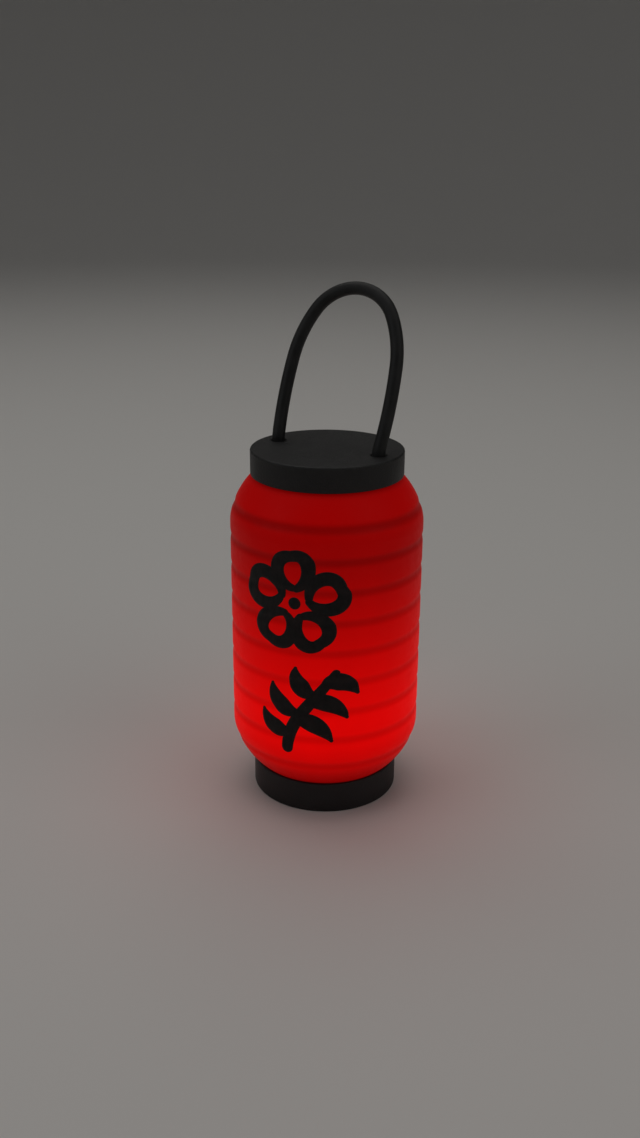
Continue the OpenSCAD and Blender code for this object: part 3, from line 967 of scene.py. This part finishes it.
def board_finish():
    """Green lacquer over copper: raised tracks that run in rings."""
    f = Finish("board_lacquer", lacquer_dark, 0.3, Specular_IOR_Level=0.5)
    ring = f.sum("PINGPONG", f.from_the_axis(), track_pitch)
    track = f.spread(ring, 1.0, 0.0, track_half, track_edge)
    weave = f.noise(900, 2.0)
    mixed = f.sum("ADD", f.sum("MULTIPLY", track, 0.7), f.sum("MULTIPLY", weave, 0.3))
    colour = f.ramp(mixed, [(0.0, lacquer_dark), (1.0, lacquer_light)])
    f.join(colour, f.shader.inputs["Base Color"])
    f.join(f.spread(weave, 0.24, 0.38), f.shader.inputs["Roughness"])
    f.bump(f.sum("ADD", track, f.sum("MULTIPLY", weave, 0.25)), 0.04 * mm)
    return f


finishes["led_board"] = board_finish()
finishes["driver_chip"] = moulded_finish(
    "chip_epoxy", (0.012, 0.012, 0.012), 0.5, 3200, 0.03 * mm
)
print("finishes so far:", len(finishes))


# %% Finish of the resistors
resistor_pitch = 4 * mm
tin_start, tin_full = 0.62 * mm, 0.66 * mm
glaze, bright_tin = (0.012, 0.012, 0.014), (0.62, 0.61, 0.58)


def resistor_finish():
    """Black glaze with tinned ends, found from the distance to the nearest resistor's middle."""
    f = Finish("resistor_glaze", glaze, 0.25)
    along = f.sum("PINGPONG", f.axis("X"), resistor_pitch / 2)
    tin = f.spread(along, 0.0, 1.0, tin_start, tin_full)
    f.join(f.ramp(tin, [(0.0, glaze), (1.0, bright_tin)]), f.shader.inputs["Base Color"])
    f.join(tin, f.shader.inputs["Metallic"])
    f.join(f.spread(f.noise(2000), 0.22, 0.4), f.shader.inputs["Roughness"])
    f.bump(f.noise(2400), 0.02 * mm)
    return f


finishes["resistors"] = resistor_finish()
print("resistors stand", round(resistor_pitch / mm, 1), "mm apart")

# %% [markdown]
# ## Metal parts
# The screws, cells, contacts and crimp sleeves are metal. What tells one metal part from another
# is how it was made: a pressed cell can has fine rings from its tool, a stamped contact is
# bright with flat blotches, and a screw is turned. Noise gives the blotches and fine marks, and
# for the cells a wave read from the distance to the axis adds the rings.

# %% Finish of metal
def metal_finish(name, colour, roughness, rings=0.0, blotch=180, depth=0.015 * mm):
    """Bare metal; rings says how many tool marks to a metre run round the Z axis."""
    f = Finish(name, colour, roughness, Metallic=1.0)
    wear = f.noise(blotch, 4.0)
    dull = tuple(0.72 * c for c in colour)
    f.join(f.ramp(wear, [(0.35, dull), (0.65, colour)]), f.shader.inputs["Base Color"])
    f.join(f.spread(wear, roughness + 0.12, roughness - 0.05), f.shader.inputs["Roughness"])
    marks = f.noise(2200, 3.0)
    if rings:
        wave = f.sum("SINE", f.sum("MULTIPLY", f.from_the_axis(), rings * 2 * pi))
        marks = f.sum("ADD", f.sum("MULTIPLY", marks, 0.4), wave)
    f.bump(marks, depth)
    return f


cell_steel = metal_finish("cell_steel", (0.70, 0.71, 0.72), 0.26, 2500, 90, 0.004 * mm)
screw_steel = metal_finish("screw_steel", (0.62, 0.62, 0.60), 0.3)
contact_brass = metal_finish("contact_brass", (0.72, 0.50, 0.20), 0.3, 0, 140)
finishes["battery_lower"] = cell_steel
finishes["battery_upper"] = cell_steel
finishes["board_screws"] = screw_steel
finishes["liner_screws"] = screw_steel
finishes["top_contact"] = contact_brass
finishes["door_contact"] = contact_brass
finishes["cord_stops"] = metal_finish("sleeve_aluminium", (0.66, 0.67, 0.68), 0.38, 0, 260)
print("finishes in all:", len(finishes))

# %% Give each CAD node its finish
for name, finish in finishes.items():
    paint(nodes[name], finish)
left_over = [name for name in nodes if name not in finishes and not nodes[name].hide_render]
print("nodes finished:", len(finishes), "shown without a finish:", left_over)

# %% [markdown]
# ## The size
# The finer pieces above are meant to keep the light's size. The box of the CAD model was kept
# at the start, and the finished model's box less that box is printed, low corner then high.

# %% Print how far the box has grown
final_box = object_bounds()
growth = [round((b[i] - a[i]) / mm, 2) for a, b in zip(cad_box, final_box) for i in range(3)]
print("visual box minus CAD box in mm, low then high:", growth)
